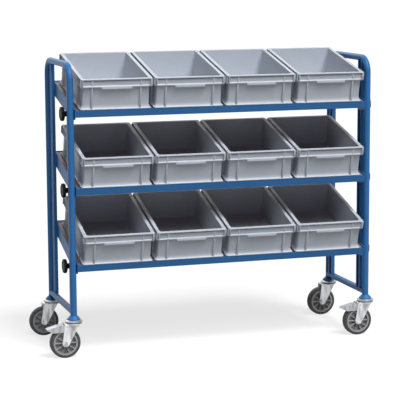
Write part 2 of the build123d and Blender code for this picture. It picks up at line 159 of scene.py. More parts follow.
class TrolleySizes(bpy.types.PropertyGroup):
    """Sizes of the pieces that are modelled here; the others come from the frame."""

    bend_radius: length("Bend radius", "Middle of the end tubes' bends", 62 * MM)
    corner_radius: length("Corner radius", "Upright corners of the containers", 8 * MM)
    foot_inset: length("Foot inset", "Container foot behind the outer size", 17 * MM)
    foot_height: length("Foot height", "Foot that drops into the container below", 4 * MM)
    foot_gap: length("Foot gap", "Hairline between a container and its board", 0.05 * MM)
    foot_ring: length("Foot ring", "Width of the ring that the container stands on", 16 * MM)
    foot_hollow: length("Foot hollow", "Depth of the hollow inside the foot ring", 1.5 * MM)
    base_inset: length("Base inset", "Flared base behind the outer size", 2.5 * MM)
    base_height: length("Base height", "Upright edge of the flared base", 3 * MM)
    flare_height: length("Flare height", "Height over which the walls flare out", 18 * MM)
    wall_inset: length("Wall inset", "Container wall behind the outer size", 11 * MM)
    wall_thickness: length("Wall thickness", "Container floor and band", 2.5 * MM)
    rim_height: length("Rim height", "Thickness of the top rim", 3.5 * MM)
    rim_inset: length("Rim inset", "Top rim behind the outer size", 2.4 * MM)
    rim_width: length("Rim width", "Top rim from the outer size to the inside", 16.5 * MM)
    band_height: length("Band height", "Band that hangs from the rim", 30 * MM)
    band_inset: length("Band inset", "Band behind the outer size", 6.5 * MM)
    bead_height: length("Bead height", "Bead along the band's lower edge", 7 * MM)
    bead_inset: length("Bead inset", "Bead behind the outer size", 2.4 * MM)
    bead_slope: length("Bead slope", "Sloped top of the bead", 3 * MM)
    groove_height: length("Groove height", "Groove between the rim and the band", 5 * MM)
    groove_inset: length("Groove inset", "Bottom of the groove behind the outer size", 11 * MM)
    post_width: length("Post width", "Upright posts at the band's corners", 4 * MM)
    floor_rounding: length("Floor rounding", "Inside edge between floor and walls", 6 * MM)
    grip_width: length("Grip width", "Hand grip under the band", 126 * MM)
    grip_drop: length("Grip drop", "How far the hand grip hangs below the band", 7 * MM)
    rib_foot: length("Rib foot", "Width of the upright ribs on the wall", 11 * MM)
    rib_ridge: length("Rib ridge", "Width of the ribs' flat ridge", 6 * MM)
    rib_depth: length("Rib depth", "How far the ribs stand out from the walls", 7 * MM)
    end_rib_spread: length("End rib spread", "Distance between the ribs of an end wall", 200 * MM)
    side_rib_spread: length("Side rib spread", "Distance between the ribs of a side wall", 260 * MM)
    rim_hole: length("Rim hole", "Diameter of the small holes in the rim", 6 * MM)
    rim_hole_place: length("Rim hole place", "Rim hole from the container's end", 34 * MM)
    edge_rounding: length("Edge rounding", "Moulded edges of the containers", 0.7 * MM)
    knob_hub: length("Knob hub", "Diameter of the knob's hub", 22 * MM)
    knob_hub_length: length("Knob hub length", "Hub between the rail and the disc", 15 * MM)
    lobe_depth: length("Lobe depth", "Hollows round the knob's edge", 3 * MM)
    knob_rounding: length("Knob rounding", "Rounded edges of the knob", 3.5 * MM)
    knob_dish: length("Knob dish", "Depth of the knob's dished face", 1.5 * MM)
    tyre_thickness: length("Tyre thickness", "Tyre on the hub", 12 * MM)
    tyre_rounding: length("Tyre rounding", "Shoulders of the tyre", 7 * MM)
    fork_wall: length("Fork wall", "Pressed steel of the forks", 3.5 * MM)
    fork_width: length("Fork width", "Fork over both cheeks", 47 * MM)
    fork_front: length("Fork front", "Cheek's front edge from the swivel axis", 20 * MM)
    fork_rear: length("Fork rear", "Cheek's rear edge from the swivel axis", 42 * MM)
    fork_border: length("Fork border", "Flat border round the cheek's sunk field", 6 * MM)
    fork_sink: length("Fork sink", "Depth of the cheek's sunk field", 1.2 * MM)
    fork_rounding: length("Fork rounding", "Pressed edges of the fork", 0.8 * MM)
    race_diameter: length("Race diameter", "Ball race on the fork", 52 * MM)
    kingpin_bore: length("Kingpin bore", "Bore of the fork for the kingpin", 14.6 * MM)
    axle_bore: length("Axle bore", "Bore of the cheeks for the axle", 10 * MM)
    pivot_bore: length("Pivot bore", "Bore of the cheeks for the pedal", 6.4 * MM)


class TrolleyColours(bpy.types.PropertyGroup):
    """Colours of the finishes."""

    powder_coat: colour("Powder coat", "Blue coat of the frame and shelves", "#2E6AA4")
    polypropylene: colour("Containers", "Grey moulded containers", "#B5BBC5")
    wood: colour("Board", "Wooden boards of the shelves", "#96694A")
    wood_dark: colour("Board grain", "Dark grain of the boards", "#6E4A34")
    knob: colour("Knobs", "Black clamp knobs", "#0E0E10")
    pin: colour("Pins", "Steel studs and pins", "#4A4A4D")
    zinc: colour("Zinc", "Plated steel of the forks and axles", "#DCDEE1")
    # Heads and pedals: zinc painted darker than the forks, a painted reflection of a dark surround
    zinc_painted_darker: colour("Zinc, painted darker", "Plated steel of the caster heads and pedals, painted darker as a dark reflection", "#B0B2B6")
    hub: colour("Hubs", "Wheel hubs", "#9A9A9C")
    tyre: colour("Tyres", "Grey rubber tyres", "#414143")
    floor: colour("Floor", "Floor as it is seen", "#FFFFFF")
    floor_glow: colour("Floor glow", "Light that the floor throws back on the trolley", "#9C9C9C")


def sizes():
    """The sizes that the scene holds."""
    return bpy.context.scene.trolley_sizes


def colours():
    """The colours that the scene holds."""
    return bpy.context.scene.trolley_colours


# Modelling steps, as they are done by hand


def deselect():
    """Nothing stays selected, so that an operator acts on the new piece alone."""
    bpy.ops.object.select_all(action="DESELECT")


def edit_new(name):
    """Name the primitive that was just added, and open it in edit mode with all of it selected."""
    piece = bpy.context.active_object
    piece.name = name
    piece.data.name = name
    bpy.ops.object.mode_set(mode="EDIT")
    bpy.ops.mesh.select_mode(type="VERT")
    bpy.ops.mesh.select_all(action="SELECT")
    return piece


def extrude(step):
    """Extrude what is selected by a step along X, Y and Z."""
    bpy.ops.mesh.extrude_region_move(TRANSFORM_OT_translate={"value": step})


def trace(name, points):
    """Draw a line through the points, each a vertex extruded from the last one."""
    deselect()
    bpy.ops.mesh.primitive_plane_add(size=1)
    piece = edit_new(name)
    bpy.ops.mesh.merge(type="CENTER")
    bpy.ops.transform.translate(value=points[0])
    for start, end in zip(points, points[1:]):
        extrude(Vector(end) - Vector(start))
    bpy.ops.mesh.select_all(action="SELECT")
    return piece


def close_mesh():
    """Merge the seams, fill the open ends, turn the faces outwards and leave edit mode."""
    bpy.ops.mesh.select_all(action="SELECT")
    bpy.ops.mesh.remove_doubles(threshold=SEAM)
    bpy.ops.mesh.fill_holes(sides=0)
    bpy.ops.mesh.select_all(action="SELECT")
    bpy.ops.mesh.normals_make_consistent(inside=False)
    bpy.ops.object.mode_set(mode="OBJECT")


def lathe(name, profile, axis, steps):
    """Spin a closed profile round an axis through the origin."""
    piece = trace(name, profile + profile[:1])
    bpy.ops.mesh.spin(steps=steps, angle=tau, center=(0, 0, 0), axis=axis)
    close_mesh()
    return piece


def prism(name, outline, step):
    """Fill a closed outline and extrude it by one step."""
    piece = trace(name, outline)
    bpy.ops.mesh.edge_face_add()
    extrude(step)
    close_mesh()
    return piece


def copy_of(pattern, place):
    """A copy of a modelled piece, with its own mesh moved to its place."""
    piece = pattern.copy()
    piece.data = pattern.data.copy()
    piece.data.transform(place)
    bpy.context.scene.collection.objects.link(piece)
    return piece


def join(pieces):
    """Join pieces into the first one."""
    deselect()
    for piece in pieces:
        piece.select_set(True)
    bpy.context.view_layer.objects.active = pieces[0]
    bpy.ops.object.join()
    return pieces[0]


def round_edges(piece, width, sharp=SHARP_TURN):
    """Round the sharp edges with a bevel and smooth the faces beside them."""
    deselect()
    piece.select_set(True)
    bpy.context.view_layer.objects.active = piece
    if width:
        bevel = piece.modifiers.new("Rounded edges", "BEVEL")
        bevel.width = width
        bevel.segments = BEVEL_STEPS
        bevel.limit_method = "ANGLE"
        bevel.angle_limit = sharp
        bpy.ops.object.modifier_apply(modifier=bevel.name)
    bpy.ops.object.shade_smooth_by_angle(angle=sharp)


def cut(piece, cutter):
    """Cut one piece's shape out of another, and throw the cutter away."""
    deselect()
    bpy.context.view_layer.objects.active = piece
    piece.select_set(True)
    boolean = piece.modifiers.new("Cut", "BOOLEAN")
    boolean.operation = "DIFFERENCE"
    boolean.solver = "EXACT"
    boolean.object = cutter
    bpy.ops.object.modifier_apply(modifier=boolean.name)
    bpy.data.objects.remove(cutter)


def set_on(pattern, name, place, body, slot, material, *nodes):
    """Copy a modelled pattern to its place on a body, where it stands for CAD nodes."""
    piece = copy_of(pattern, place)
    piece.name = name
    piece.data.name = name
    piece.data.materials.clear()
    piece.data.materials.append(material)
    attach(piece, body)
    if nodes:
        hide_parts(*nodes)
    return piece


def coat(material, *nodes):
    """Give CAD nodes that keep their shape a better material."""
    for node in nodes:
        for material_slot in frame["nodes"][node].material_slots:
            material_slot.material = material


# Materials


def add_node(tree, kind, inputs=None, **settings):
    """Add a shader node with its settings, and fill or link its inputs."""
    node = tree.nodes.new(kind)
    for name, value in settings.items():
        setattr(node, name, value)
    for name, value in (inputs or {}).items():
        if isinstance(value, bpy.types.NodeSocket):
            tree.links.new(value, node.inputs[name])
        else:
            node.inputs[name].default_value = value
    return node


def new_material(name):
    """An empty node material and its Object coordinates."""
    material = bpy.data.materials.new(name)
    material.use_nodes = True
    tree = material.node_tree
    tree.nodes.clear()
    place = add_node(tree, "ShaderNodeTexCoord").outputs["Object"]
    return material, tree, place


def show(tree, shader):
    """Link the finished shader to the material's output."""
    add_node(tree, "ShaderNodeOutputMaterial", {"Surface": shader.outputs[0]})


def seen_straight(tree):
    """1 where a surface is seen, straight or by way of a mirror or glass, and 0 for its light."""
    path = add_node(tree, "ShaderNodeLightPath")
    mirrored = add_node(
        tree, "ShaderNodeMath",
        {0: path.outputs["Is Camera Ray"], 1: path.outputs["Is Glossy Ray"]}, operation="MAXIMUM",
    )
    either = add_node(
        tree, "ShaderNodeMath",
        {0: mirrored.outputs["Value"], 1: path.outputs["Is Transmission Ray"]}, operation="MAXIMUM",
    )
    return either.outputs["Value"]


def shade(rgb, factor):
    """The same colour, lighter or darker, with full alpha."""
    return [min(1, value * factor) for value in rgb] + [1]


def per_mm(size):
    """Texture scale at which one feature is so many millimetres wide."""
    return 1 / (size * MM)


def powder_coat():
    """Polyester powder coat on steel: baked on, so even and satin with a faint orange peel."""
    material, tree, place = new_material("Powder-coated steel, blue")
    dark, light = (shade(colours().powder_coat, factor) for factor in COAT_TONES)
    cloud = add_node(
        tree, "ShaderNodeTexNoise", {"Vector": place, "Scale": per_mm(90), "Detail": 2}
    )
    tone = add_node(
        tree, "ShaderNodeMix",
        {"Factor": cloud.outputs["Fac"], "A": dark, "B": light}, data_type="RGBA",
    )
    # Orange peel is about 1.5 mm across, drawn twice as coarse so that it shows
    peel = add_node(tree, "ShaderNodeTexNoise", {"Vector": place, "Scale": per_mm(3), "Detail": 1})
    roughness = add_node(
        tree, "ShaderNodeMapRange",
        {"Value": peel.outputs["Fac"], "To Min": 0.34, "To Max": 0.46},
    )
    bump = add_node(
        tree, "ShaderNodeBump",
        {"Height": peel.outputs["Fac"], "Strength": 0.12, "Distance": 0.2 * MM},
    )
    show(tree, add_node(tree, "ShaderNodeBsdfPrincipled", {
        "Base Color": tone.outputs["Result"], "Roughness": roughness.outputs["Result"],
        "Normal": bump.outputs["Normal"], "IOR": 1.5, "Specular IOR Level": 0.22,
    }))
    return material


def moulded_plastic(name, rgb, least_rough, most_rough, sheen):
    """Moulded plastic: the spark-eroded mould leaves a fine matt grain and faint flow marks."""
    material, tree, place = new_material(name)
    dark, light = (shade(rgb, factor) for factor in PLASTIC_TONES)
    flow = add_node(
        tree, "ShaderNodeTexNoise",
        {"Vector": place, "Scale": per_mm(70), "Detail": 3, "Distortion": 1.5},
    )
    tone = add_node(
        tree, "ShaderNodeMix",
        {"Factor": flow.outputs["Fac"], "A": dark, "B": light}, data_type="RGBA",
    )
    # The grain is about 0.3 mm, drawn coarser so that it shows
    grain = add_node(
        tree, "ShaderNodeTexNoise", {"Vector": place, "Scale": per_mm(1.2), "Detail": 2}
    )
    roughness = add_node(
        tree, "ShaderNodeMapRange",
        {"Value": flow.outputs["Fac"], "To Min": least_rough, "To Max": most_rough},
    )
    bump = add_node(
        tree, "ShaderNodeBump",
        {"Height": grain.outputs["Fac"], "Strength": 0.1, "Distance": 0.15 * MM},
    )
    show(tree, add_node(tree, "ShaderNodeBsdfPrincipled", {
        "Base Color": tone.outputs["Result"], "Roughness": roughness.outputs["Result"],
        "Normal": bump.outputs["Normal"], "IOR": 1.49, "Specular IOR Level": sheen,
    }))
    return material


def board_wood():
    """Beech plywood under clear lacquer: long fine grain along the board and short dark flecks."""
    material, tree, place = new_material("Beech plywood, lacquered")
    dark, light = shade(colours().wood_dark, 1), shade(colours().wood, 1)
    # The grain is about 5 mm wide and runs for some 400 mm, the flecks are 1 mm by 9 mm
    along = add_node(
        tree, "ShaderNodeMapping",
        {"Vector": place, "Scale": (per_mm(400), per_mm(5), per_mm(5))},
    )
    grain = add_node(
        tree, "ShaderNodeTexNoise",
        {"Vector": along.outputs["Vector"], "Scale": 1, "Detail": 6, "Distortion": 0.6},
    )
    flecks_along = add_node(
        tree, "ShaderNodeMapping",
        {"Vector": place, "Scale": (per_mm(9), per_mm(1), per_mm(1))},
    )
    flecks = add_node(
        tree, "ShaderNodeTexNoise",
        {"Vector": flecks_along.outputs["Vector"], "Scale": 1, "Detail": 1},
    )
    both = add_node(
        tree, "ShaderNodeMath",
        {0: grain.outputs["Fac"], 1: flecks.outputs["Fac"]}, operation="MULTIPLY",
    )
    spread = add_node(
        tree, "ShaderNodeMapRange",
        {"Value": both.outputs["Value"], "From Min": 0.12, "From Max": 0.4},
    )
    tone = add_node(
        tree, "ShaderNodeMix",
        {"Factor": spread.outputs["Result"], "A": dark, "B": light}, data_type="RGBA",
    )
    bump = add_node(
        tree, "ShaderNodeBump",
        {"Height": both.outputs["Value"], "Strength": 0.2, "Distance": 0.2 * MM},
    )
    show(tree, add_node(tree, "ShaderNodeBsdfPrincipled", {
        "Base Color": tone.outputs["Result"], "Roughness": 0.45,
        "Normal": bump.outputs["Normal"], "IOR": 1.5,
    }))
    return material


def plated_steel(name, rgb, least_rough, most_rough, metal):
    """Plating on pressed steel: a cloudy sheen with drawing marks, whiter where passivated."""
    material, tree, place = new_material(name)
    dark, light = (shade(rgb, factor) for factor in PLATING_TONES)
    # The clouds are about 14 mm across and are drawn out downwards by the press
    drawn = add_node(
        tree, "ShaderNodeMapping",
        {"Vector": place, "Scale": (per_mm(14), per_mm(14), per_mm(70))},
    )
    cloud = add_node(
        tree, "ShaderNodeTexNoise", {"Vector": drawn.outputs["Vector"], "Scale": 1, "Detail": 4}
    )
    spread = add_node(
        tree, "ShaderNodeMapRange",
        {"Value": cloud.outputs["Fac"], "From Min": 0.35, "From Max": 0.57},
    )
    tone = add_node(
        tree, "ShaderNodeMix",
        {"Factor": spread.outputs["Result"], "A": dark, "B": light}, data_type="RGBA",
    )
    roughness = add_node(
        tree, "ShaderNodeMapRange",
        {"Value": cloud.outputs["Fac"], "To Min": least_rough, "To Max": most_rough},
    )
    # Drawing marks are about 0.2 mm, drawn coarser so that they show
    marks = add_node(
        tree, "ShaderNodeTexNoise", {"Vector": place, "Scale": per_mm(1.5), "Detail": 2}
    )
    bump = add_node(
        tree, "ShaderNodeBump",
        {"Height": marks.outputs["Fac"], "Strength": 0.08, "Distance": 0.1 * MM},
    )
    show(tree, add_node(tree, "ShaderNodeBsdfPrincipled", {
        "Base Color": tone.outputs["Result"], "Roughness": roughness.outputs["Result"],
        "Normal": bump.outputs["Normal"], "Metallic": metal,
    }))
    return material


def rubber():
    """Grey thermoplastic rubber: soft and matt, a little dusty in its fine moulded texture."""
    material, tree, place = new_material("Thermoplastic rubber, grey")
    dark, light = (shade(colours().tyre, factor) for factor in RUBBER_TONES)
    dust = add_node(
        tree, "ShaderNodeTexNoise", {"Vector": place, "Scale": per_mm(11), "Detail": 4}
    )
    tone = add_node(
        tree, "ShaderNodeMix",
        {"Factor": dust.outputs["Fac"], "A": dark, "B": light}, data_type="RGBA",
    )
    # The texture is about 0.3 mm, drawn coarser so that it shows
    grain = add_node(
        tree, "ShaderNodeTexNoise", {"Vector": place, "Scale": per_mm(1), "Detail": 2}
    )
    bump = add_node(
        tree, "ShaderNodeBump",
        {"Height": grain.outputs["Fac"], "Strength": 0.25, "Distance": 0.2 * MM},
    )
    show(tree, add_node(tree, "ShaderNodeBsdfPrincipled", {
        "Base Color": tone.outputs["Result"], "Roughness": 0.72,
        "Normal": bump.outputs["Normal"], "IOR": 1.5,
    }))
    return material


# Pieces


def bent_tube(name, node, bend):
    """An upside-down U of round tube: a circle drawn up one leg, over the bends and down again."""
    low, high = measure(node)
    radius = (high.x - low.x) / 2
    middle = (low.x + high.x) / 2
    front = low.y + radius
    rear = high.y - radius
    bend_z = high.z - radius - bend
    deselect()
    bpy.ops.mesh.primitive_circle_add(
        vertices=TUBE_SIDES, radius=radius, location=(middle, front, low.z)
    )
    bpy.ops.object.transform_apply()
    tube = edit_new(name)
    extrude((0, 0, bend_z - low.z))
    bpy.ops.mesh.spin(
        steps=BEND_STEPS, angle=pi / 2, center=(middle, front + bend, bend_z), axis=(1, 0, 0)
    )
    extrude((0, rear - front - 2 * bend, 0))
    bpy.ops.mesh.spin(
        steps=BEND_STEPS, angle=pi / 2, center=(middle, rear - bend, bend_z), axis=(1, 0, 0)
    )
    extrude((0, 0, low.z - bend_z))
    close_mesh()
    round_edges(tube, 0)
    return tube


def container_rings(height, size):
    """The container's section from its foot, up the outside, over the rim and down to the floor."""
    rim_bottom = height - size.rim_height
    band_bottom = rim_bottom - size.band_height
    bead_top = band_bottom + size.bead_height
    groove_bottom = rim_bottom - size.groove_height
    band_inner = size.band_inset + size.wall_thickness
    floor = size.foot_height + size.wall_thickness
    base_top = size.foot_height + size.base_height
    flare = size.wall_inset - size.base_inset
    # The rounding above the floor has one point near its middle
    round_middle = size.floor_rounding / 3
    rings = [
        (size.foot_inset + size.foot_ring, size.foot_hollow),
        (size.foot_inset + size.foot_ring, size.foot_gap),
        (size.foot_inset, size.foot_gap),
        (size.foot_inset, size.foot_height),
        (size.base_inset, size.foot_height),
    ]
    for step in range(FLARE_STEPS + 1):
        turn = pi / 2 * step / FLARE_STEPS
        rings.append((
            size.base_inset + flare * sin(turn), base_top + size.flare_height * (1 - cos(turn)),
        ))
    rings += [
        (size.wall_inset, groove_bottom - size.wall_thickness),
        (band_inner, groove_bottom - size.wall_thickness),
        (band_inner, band_bottom),
        (size.bead_inset, band_bottom),
        (size.bead_inset, bead_top - size.bead_slope),
        (size.band_inset, bead_top),
        (size.band_inset, groove_bottom),
        (size.groove_inset, groove_bottom),
        (size.groove_inset, rim_bottom),
        (size.rim_inset, rim_bottom),
        (size.rim_inset, height),
        (size.rim_width, height),
        (size.rim_width, floor + size.floor_rounding),
        (size.rim_width + round_middle, floor + round_middle),
        (size.rim_width + size.floor_rounding, floor),
    ]
    return rings


def container_shell(extent, size):
    """A tray from one rounded plane, whose face is extruded from ring to ring of the section."""
    rings = container_rings(extent.z, size)
    inset, height = rings[0]
    deselect()
    bpy.ops.mesh.primitive_plane_add(size=1, location=(0, 0, height))
    shell = bpy.context.active_object
    shell.scale = (extent.x - 2 * inset, extent.y - 2 * inset, 1)
    bpy.ops.object.transform_apply()
    edit_new("container")
    bpy.ops.mesh.bevel(offset=size.corner_radius, segments=CORNER_STEPS, affect="VERTICES")
    bpy.ops.mesh.select_all(action="SELECT")
    for (inset, height), (next_inset, next_height) in zip(rings, rings[1:]):
        extrude((0, 0, next_height - height))
        if next_inset != inset:
            grow_x = (extent.x - 2 * next_inset) / (extent.x - 2 * inset)
            grow_y = (extent.y - 2 * next_inset) / (extent.y - 2 * inset)
            bpy.ops.transform.resize(value=(grow_x, grow_y, 1), center_override=(0, 0, 0))
    close_mesh()
    return shell


def container_pattern():
    """One container that stands over Z = 0: shell, rim holes, hand grips, posts and ribs."""
    size = sizes()
    low, high = measure("lower_container_1", shelf_place("lower"))
    extent = high - low
    half = extent / 2
    rim_bottom = extent.z - size.rim_height
    band_bottom = rim_bottom - size.band_height
    shell = container_shell(extent, size)
    round_edges(shell, size.edge_rounding)
    hole_x = half.x - size.rim_width / 2
    hole_y = half.y - size.rim_hole_place
    # Half of each cutter stands above the rim, and the other half ends in the groove below it
    cutter_length = 4 * size.rim_height
    for x in (-hole_x, hole_x):
        for y in (-hole_y, hole_y):
            deselect()
            bpy.ops.mesh.primitive_cylinder_add(
                vertices=HOLE_SIDES, radius=size.rim_hole / 2, depth=cutter_length,
                location=(x, y, extent.z),
            )
            cut(shell, bpy.context.active_object)

    # Each detail is drawn on a wall that faces the front and lies on Y = 0
    foot = size.foot_height + size.base_height
    rib = prism("rib", [
        (-size.rib_foot / 2, OVERLAP, foot),
        (-size.rib_ridge / 2, -size.rib_depth, foot),
        (size.rib_ridge / 2, -size.rib_depth, foot),
        (size.rib_foot / 2, OVERLAP, foot),
    ], (0, 0, rim_bottom - foot))
    post = prism("post", [
        (-size.post_width / 2, -size.band_inset, band_bottom),
        (size.post_width / 2, -size.band_inset, band_bottom),
        (size.post_width / 2, OVERLAP, band_bottom),
        (-size.post_width / 2, OVERLAP, band_bottom),
    ], (0, 0, rim_bottom - band_bottom + OVERLAP))
    grip_x = -size.grip_width / 2
    grip_bottom = band_bottom - size.grip_drop
    grip_edge = grip_bottom + size.grip_drop / 3
    grip_top = band_bottom + size.bead_height - size.bead_slope
    grip = prism("grip", [
        (grip_x, size.bead_inset - size.band_inset, grip_top),
        (grip_x, -size.band_inset, grip_edge),
        (grip_x, -size.band_inset, grip_bottom),
        (grip_x, size.wall_thickness, grip_bottom),
        (grip_x, size.wall_thickness, grip_top),
    ], (size.grip_width, 0, 0))
    for detail in (rib, post, grip):
        round_edges(detail, size.edge_rounding)
    extras = []
    for turn, across, away, spread in (
        (0, half.x, half.y, size.end_rib_spread),
        (pi, half.x, half.y, size.end_rib_spread),
        (pi / 2, half.y, half.x, size.side_rib_spread),
        (-pi / 2, half.y, half.x, size.side_rib_spread),
    ):
        wall = Matrix.Rotation(turn, 4, "Z")
        wall_y = size.wall_inset - away
        band_y = size.band_inset - away
        for side in (-1, 1):
            rib_x = side * spread / 2
            extras.append(copy_of(rib, wall @ Matrix.Translation((rib_x, wall_y, 0))))
            post_x = side * (across - size.corner_radius - size.post_width / 2)
            extras.append(copy_of(post, wall @ Matrix.Translation((post_x, band_y, 0))))
        # Only the two end walls have a hand grip
        if away == half.y:
            extras.append(copy_of(grip, wall @ Matrix.Translation((0, band_y, 0))))
    for detail in (rib, post, grip):
        bpy.data.objects.remove(detail)
    return join([shell] + extras)


def knob_pattern():
    """A lobed clamp knob on the X axis: a disc with round edges and a dished face, and its hub."""
    size = sizes()
    low, high = measure("lower_right_knob")
    radius = (high.z - low.z) / 2
    front = high.x - low.x
    rounding = size.knob_rounding
    outline = []
    for step in range(KNOB_STEPS):
        turn = tau * step / KNOB_STEPS
        reach = radius - size.lobe_depth * max(0, cos(KNOB_LOBES * turn)) ** 2
        outline.append((reach * cos(turn), reach * sin(turn)))
    rings = []
    for step in range(ROUND_STEPS + 1):
        turn = pi / 2 * step / ROUND_STEPS
        rings.append((
            radius - rounding * (1 - sin(turn)), size.knob_hub_length + rounding * (1 - cos(turn)),
        ))
    for step in range(ROUND_STEPS + 1):
        turn = pi / 2 * step / ROUND_STEPS
        rings.append((radius - rounding * (1 - cos(turn)), front - rounding * (1 - sin(turn))))
    rings += [
        (size.knob_hub, front),
        (size.knob_hub - size.knob_dish, front - size.knob_dish),
    ]
    reach, along = rings[0]
    knob = trace("knob", [(along, y * reach / radius, z * reach / radius) for y, z in outline])
    bpy.ops.mesh.edge_face_add()
    for next_reach, next_along in rings[1:]:
        extrude((next_along - along, 0, 0))
        grow = next_reach / reach
        bpy.ops.transform.resize(value=(1, grow, grow), center_override=(next_along, 0, 0))
        reach, along = next_reach, next_along
    close_mesh()
    round_edges(knob, 0, ROUND_SHARP_TURN)
    hub = lathe("hub", [
        (0, 0, 0),
        (0, size.knob_hub / 2, 0),
        (size.knob_hub_length, size.knob_hub / 2, 0),
        (size.knob_hub_length + rounding, size.knob_hub / 2 + rounding, 0),
        (size.knob_hub_length + rounding, 0, 0),
    ], (1, 0, 0), TUBE_SIDES)
    round_edges(hub, 0, ROUND_SHARP_TURN)
    return join([knob, hub])


def tyre_pattern():
    """A tyre on the Y axis: a flat tread with round shoulders."""
    size = sizes()
    low, high = measure("left_front_tyre")
    radius = (high.z - low.z) / 2
    half_width = (high.y - low.y) / 2
    seat = radius - size.tyre_thickness
    shoulder = size.tyre_rounding
    tread = radius - shoulder
    tread_half = half_width - shoulder
    profile = [(seat, -half_width, 0)]
    for end in (-1, 1):
        for step in range(ROUND_STEPS + 1):
            turn = pi / 2 * step / ROUND_STEPS
            out, across = (sin(turn), cos(turn)) if end < 0 else (cos(turn), sin(turn))
            profile.append((tread + shoulder * out, end * (tread_half + shoulder * across), 0))
    profile.append((seat, half_width, 0))
    tyre = lathe("tyre", profile, (0, 1, 0), WHEEL_STEPS)
    round_edges(tyre, 0, ROUND_SHARP_TURN)
    return tyre


def tangent_turn(corner, radius, side):
    """Where a line from a corner touches a circle round the origin, as an angle."""
    return atan2(corner.y, corner.x) + side * acos(radius / corner.length)


def bore(piece, diameter, location, turned):
    """Drill a round hole right through a piece, upright or along Y."""
    deselect()
    bpy.ops.mesh.primitive_cylinder_add(
        vertices=BORE_SIDES, radius=diameter / 2, depth=DRILL_LENGTH, location=location,
        rotation=turned,
    )
    cut(piece, bpy.context.active_object)


def fork_pattern(leg):
    """A fork on its swivel axis over the floor: a capped plate and two cheeks with sunk fields."""
    size = sizes()
    low, high = measure(f"{leg}_caster_fork")
    swivel = Vector(JOINTS[f"{leg}_caster_swivel"]["pos_m"])
    foot = Vector((swivel.x, swivel.y, 0))
    axle = Vector(JOINTS[f"{leg}_wheel_roll"]["pos_m"]) - foot
    bores = [(axle, size.axle_bore)]
    if f"{leg}_brake_press" in JOINTS:
        bores.append((Vector(JOINTS[f"{leg}_brake_press"]["pos_m"]) - foot, size.pivot_bore))
    eye = axle.z - low.z
    cap_radius = (high.y - low.y) / 2
    plate_top = swivel.z + size.fork_wall
    half_width = size.fork_width / 2

    # The cheek's outline is drawn round the axle: straight edges that run on to the round eye
    front = Vector((size.fork_front - axle.x, swivel.z - axle.z))
    rear = Vector((-size.fork_rear - axle.x, swivel.z - axle.z))
    into_plate = Vector((0, size.fork_wall / 2))
    start = tangent_turn(front, eye, -1)
    end = tangent_turn(rear, eye, 1) - tau
    outline = [rear + into_plate, front + into_plate]
    for step in range(EYE_STEPS + 1):
        turn = start + (end - start) * step / EYE_STEPS
        outline.append(Vector((eye * cos(turn), eye * sin(turn))))
    cheeks = []
    for side in (-1, 1):
        inner = side * (half_width - size.fork_wall)
        cheek = trace("cheek", [(axle.x + point.x, inner, axle.z + point.y) for point in outline])
        bpy.ops.mesh.edge_face_add()
        extrude((0, side * size.fork_wall, 0))
        bpy.ops.mesh.inset(thickness=size.fork_border)
        bpy.ops.transform.translate(value=(0, -side * size.fork_sink, 0))
        close_mesh()
        round_edges(cheek, size.fork_rounding)
        for place, diameter in bores:
            bore(cheek, diameter, place, (pi / 2, 0, 0))
        cheeks.append(cheek)

    plate = prism("plate", [
        (-size.fork_rear, -half_width, swivel.z),
        (size.fork_front, -half_width, swivel.z),
        (size.fork_front, half_width, swivel.z),
        (-size.fork_rear, half_width, swivel.z),
    ], (0, 0, size.fork_wall))
    round_edges(plate, size.fork_rounding)
    bore(plate, size.kingpin_bore, (0, 0, swivel.z), (0, 0, 0))
    cap = lathe("cap", [
        (size.kingpin_bore / 2, 0, swivel.z + CAP_STEP),
        (cap_radius, 0, swivel.z + CAP_STEP),
        (cap_radius, 0, plate_top - size.fork_rounding),
        (cap_radius - 2 * size.fork_rounding, 0, plate_top + CAP_STEP),
        (size.kingpin_bore / 2, 0, plate_top + CAP_STEP),
    ], (0, 0, 1), TUBE_SIDES)
    round_edges(cap, 0)
    return join([plate, cap] + cheeks)


def race_pattern():
    """The ball race between a fork and its head, on the swivel axis above the floor."""
    size = sizes()
    top = measure("left_rear_caster_fork")[1].z
    bottom = JOINTS["left_rear_caster_swivel"]["pos_m"][2] + size.fork_wall
    race = lathe("race", [
        (size.kingpin_bore / 2, 0, bottom),
        (size.race_diameter / 2, 0, bottom),
        (size.race_diameter / 2, 0, top),
        (size.kingpin_bore / 2, 0, top),
    ], (0, 0, 1), TUBE_SIDES)
    round_edges(race, 0)
    return race


class TROLLEY_OT_end_frames(bpy.types.Operator):
    """Model the two bent end tubes and coat the welded frame"""

    bl_idname = "trolley.end_frames"
    bl_label = "End frames"

    def execute(self, context):
        coated = powder_coat()
        for side in SIDES:
            node = f"{side}_end_tube"
            tube = bent_tube("tube", node, sizes().bend_radius)
            set_on(tube, f"{side}_tube", Matrix(), "frame", "blue_powder_coat", coated, node)
            bpy.data.objects.remove(tube)
            coat(coated, f"{side}_crossbar", f"{side}_front_rail", f"{side}_rear_rail")
        coat(coated, "foot_flanges")
        for shelf in SHELVES:
            coat(coated, f"{shelf}_shelf_edge_rails", f"{shelf}_shelf_side_plates")
        return {"FINISHED"}


class TROLLEY_OT_boards(bpy.types.Operator):
    """Finish the wooden boards and the steel pins of the shelves"""

    bl_idname = "trolley.boards"
    bl_label = "Boards and pins"

    def execute(self, context):
        wood = board_wood()
        steel = plated_steel(
            "Blackened steel", colours().pin, least_rough=0.35, most_rough=0.5, metal=1
        )
        for shelf in SHELVES:
            coat(wood, f"{shelf}_shelf_board")
            coat(steel, f"{shelf}_shelf_pins")
        return {"FINISHED"}


